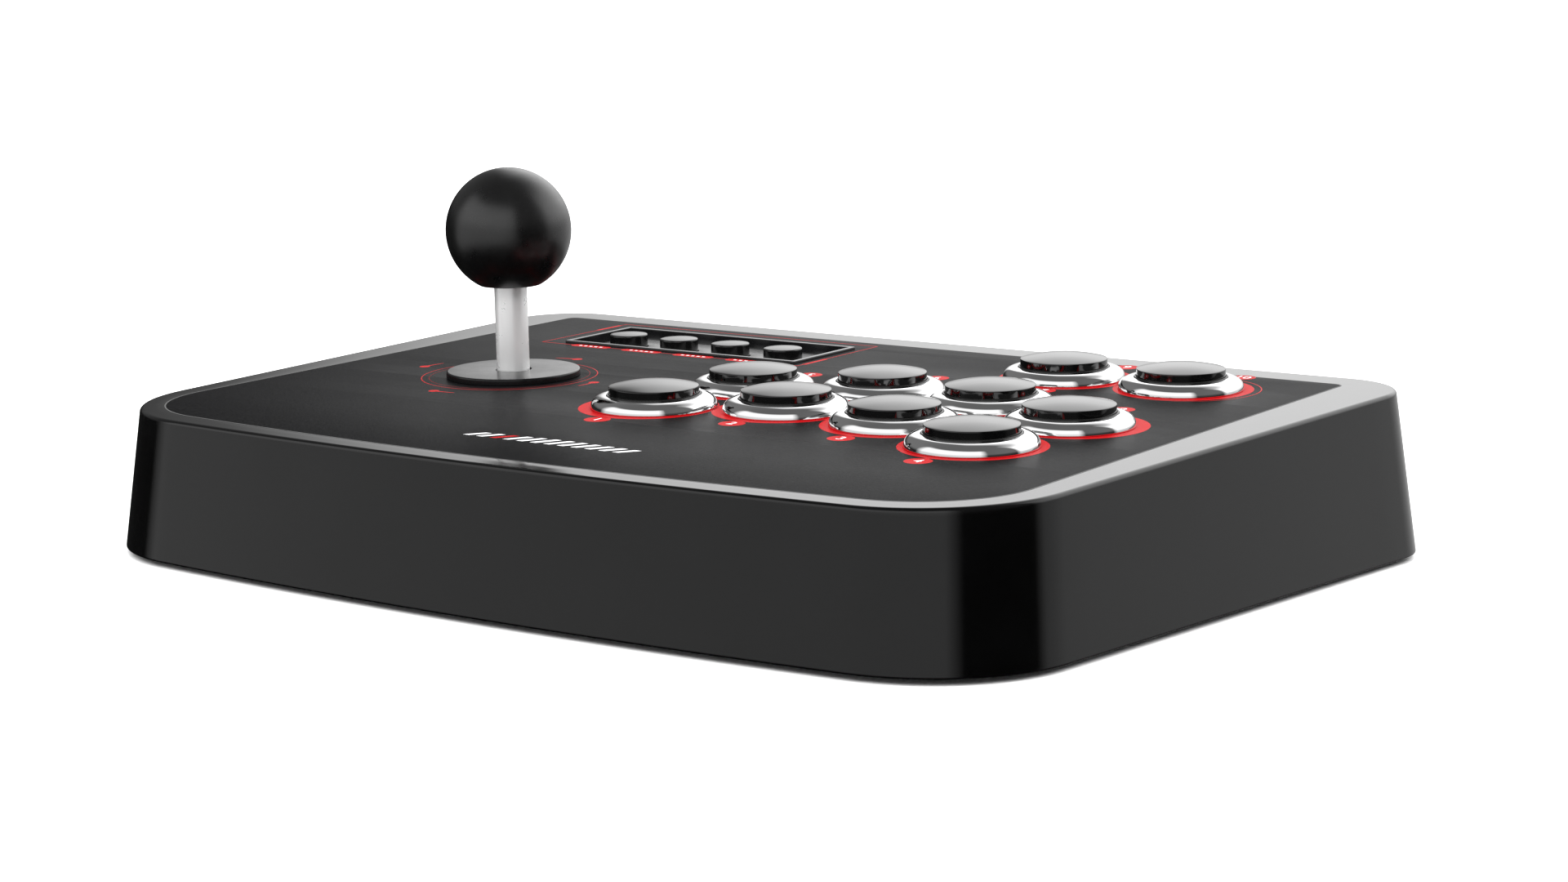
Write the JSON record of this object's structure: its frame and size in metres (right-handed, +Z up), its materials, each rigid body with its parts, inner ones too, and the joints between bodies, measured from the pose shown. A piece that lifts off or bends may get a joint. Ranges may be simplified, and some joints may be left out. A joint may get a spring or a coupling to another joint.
{
  "type": "arcade joystick panel",
  "caption": "Low wide case with a ball-top stick, round push buttons in chrome bezels and a sunk tray of small menu caps.",
  "frame": {"origin": "on the ground, under the middle of the case's bounding box", "axes": "+X to the player's right, +Y to the back of the case, +Z up"},
  "size_m": [0.3108, 0.2216, 0.1003],
  "materials": {
    "case_plastic": "satin black moulded ABS",
    "base_steel": "black powder-coated steel",
    "screw_steel": "zinc-plated",
    "foot_rubber": "matt black rubber",
    "plate_steel": "bare zinc-coated steel",
    "overlay_film": "fine-grained satin black film",
    "tray_plastic": "semi-gloss black",
    "circuit_board": "green solder mask",
    "socket_metal": "nickel-plated shell",
    "nylon_black": "moulded nylon",
    "switch_plastic": "moulded switch case",
    "gate_plastic": "white moulded plastic",
    "pivot_nylon": "natural acetal",
    "shaft_steel": "ground steel",
    "cover_metal": "satin metal sleeve",
    "ball_plastic": "satin black",
    "spring_steel": "spring wire",
    "washer_plastic": "glossy dark plastic",
    "bezel_chrome": "bright chrome plate",
    "plunger_plastic": "gloss black",
    "cap_plastic": "gloss black",
    "print_red": "red ink printed on the film",
    "print_white": "white ink printed on the film"
  },
  "bodies": {
    "case": {"body_shell": "case_plastic", "base_plate": "base_steel", "base_screws": "screw_steel", "rubber_feet": "foot_rubber", "top_plate": "plate_steel", "panel_overlay": "overlay_film", "menu_tray": "tray_plastic", "menu_board": "circuit_board", "main_board": "circuit_board", "usb_socket": "socket_metal", "button_nuts": "nylon_black", "button_switches": "switch_plastic", "stick_mount_plate": "plate_steel", "stick_housing": "nylon_black", "restrictor_gate": "gate_plastic", "stick_switches": "switch_plastic", "stick_screws": "screw_steel", "button_bezel_1": "bezel_chrome", "button_bezel_2": "bezel_chrome", "button_bezel_3": "bezel_chrome", "button_bezel_4": "bezel_chrome", "button_bezel_5": "bezel_chrome", "button_bezel_6": "bezel_chrome", "button_bezel_7": "bezel_chrome", "button_bezel_8": "bezel_chrome", "button_bezel_9": "bezel_chrome", "button_bezel_10": "bezel_chrome", "button_barrel_1": "nylon_black", "button_barrel_2": "nylon_black", "button_barrel_3": "nylon_black", "button_barrel_4": "nylon_black", "button_barrel_5": "nylon_black", "button_barrel_6": "nylon_black", "button_barrel_7": "nylon_black", "button_barrel_8": "nylon_black", "button_barrel_9": "nylon_black", "button_barrel_10": "nylon_black"},
    "pivot_ring": {"pivot_ring": "pivot_nylon"},
    "stick": {"stick_shaft": "shaft_steel", "shaft_cover": "cover_metal", "ball_top": "ball_plastic", "stick_actuator": "pivot_nylon", "e_clip": "spring_steel", "stick_spring": "spring_steel"},
    "lower_washer": {"lower_washer": "washer_plastic"},
    "dust_washer": {"dust_washer": "washer_plastic"},
    "plunger_1": {"button_plunger_1": "plunger_plastic"},
    "plunger_2": {"button_plunger_2": "plunger_plastic"},
    "plunger_3": {"button_plunger_3": "plunger_plastic"},
    "plunger_4": {"button_plunger_4": "plunger_plastic"},
    "plunger_5": {"button_plunger_5": "plunger_plastic"},
    "plunger_6": {"button_plunger_6": "plunger_plastic"},
    "plunger_7": {"button_plunger_7": "plunger_plastic"},
    "plunger_8": {"button_plunger_8": "plunger_plastic"},
    "plunger_9": {"button_plunger_9": "plunger_plastic"},
    "plunger_10": {"button_plunger_10": "plunger_plastic"},
    "menu_cap_1": {"menu_cap_1": "cap_plastic"},
    "menu_cap_2": {"menu_cap_2": "cap_plastic"},
    "menu_cap_3": {"menu_cap_3": "cap_plastic"},
    "menu_cap_4": {"menu_cap_4": "cap_plastic"}
  },
  "joints": [
    {"name": "stick_left_right", "type": "hinge", "parent": "case", "child": "pivot_ring", "pos_m": [-0.0752, -0.00096, 0.02486], "axis": [0, 0.9995, 0.0319], "range_deg": [-8, 8], "stiffness_Nm_per_rad": 1.5},
    {"name": "stick_fore_aft", "type": "hinge", "parent": "pivot_ring", "child": "stick", "pos_m": [-0.0752, -0.00096, 0.02486], "axis": [1, 0, 0], "range_deg": [-8, 8], "stiffness_Nm_per_rad": 1.5},
    {"name": "lower_washer_slide", "type": "slide", "parent": "case", "child": "lower_washer", "axis": [1, 0, 0], "range_m": [-0.0026, 0.0026]},
    {"name": "dust_washer_slide", "type": "slide", "parent": "lower_washer", "child": "dust_washer", "axis": [0, 0.9995, 0.0319], "range_m": [-0.0026, 0.0026]},
    {"name": "button_1_press", "type": "slide", "parent": "case", "child": "plunger_1", "axis": [0, 0.0319, -0.9995], "range_m": [0, 0.0025], "stiffness_N_per_m": 120, "springref_m": -0.003},
    {"name": "button_2_press", "type": "slide", "parent": "case", "child": "plunger_2", "axis": [0, 0.0319, -0.9995], "range_m": [0, 0.0025], "stiffness_N_per_m": 120, "springref_m": -0.003},
    {"name": "button_3_press", "type": "slide", "parent": "case", "child": "plunger_3", "axis": [0, 0.0319, -0.9995], "range_m": [0, 0.0025], "stiffness_N_per_m": 120, "springref_m": -0.003},
    {"name": "button_4_press", "type": "slide", "parent": "case", "child": "plunger_4", "axis": [0, 0.0319, -0.9995], "range_m": [0, 0.0025], "stiffness_N_per_m": 120, "springref_m": -0.003},
    {"name": "button_5_press", "type": "slide", "parent": "case", "child": "plunger_5", "axis": [0, 0.0319, -0.9995], "range_m": [0, 0.0025], "stiffness_N_per_m": 120, "springref_m": -0.003},
    {"name": "button_6_press", "type": "slide", "parent": "case", "child": "plunger_6", "axis": [0, 0.0319, -0.9995], "range_m": [0, 0.0025], "stiffness_N_per_m": 120, "springref_m": -0.003},
    {"name": "button_7_press", "type": "slide", "parent": "case", "child": "plunger_7", "axis": [0, 0.0319, -0.9995], "range_m": [0, 0.0025], "stiffness_N_per_m": 120, "springref_m": -0.003},
    {"name": "button_8_press", "type": "slide", "parent": "case", "child": "plunger_8", "axis": [0, 0.0319, -0.9995], "range_m": [0, 0.0025], "stiffness_N_per_m": 120, "springref_m": -0.003},
    {"name": "button_9_press", "type": "slide", "parent": "case", "child": "plunger_9", "axis": [0, 0.0319, -0.9995], "range_m": [0, 0.0025], "stiffness_N_per_m": 120, "springref_m": -0.003},
    {"name": "button_10_press", "type": "slide", "parent": "case", "child": "plunger_10", "axis": [0, 0.0319, -0.9995], "range_m": [0, 0.0025], "stiffness_N_per_m": 120, "springref_m": -0.003},
    {"name": "menu_1_press", "type": "slide", "parent": "case", "child": "menu_cap_1", "axis": [0, 0.0319, -0.9995], "range_m": [0, 0.0008], "stiffness_N_per_m": 250, "springref_m": -0.0015},
    {"name": "menu_2_press", "type": "slide", "parent": "case", "child": "menu_cap_2", "axis": [0, 0.0319, -0.9995], "range_m": [0, 0.0008], "stiffness_N_per_m": 250, "springref_m": -0.0015},
    {"name": "menu_3_press", "type": "slide", "parent": "case", "child": "menu_cap_3", "axis": [0, 0.0319, -0.9995], "range_m": [0, 0.0008], "stiffness_N_per_m": 250, "springref_m": -0.0015},
    {"name": "menu_4_press", "type": "slide", "parent": "case", "child": "menu_cap_4", "axis": [0, 0.0319, -0.9995], "range_m": [0, 0.0008], "stiffness_N_per_m": 250, "springref_m": -0.0015}
  ],
  "couplings": [
    {"joint": "lower_washer_slide", "follows": "stick_left_right", "m_per_rad": 0.0179},
    {"joint": "dust_washer_slide", "follows": "stick_fore_aft", "m_per_rad": -0.0179}
  ]
}
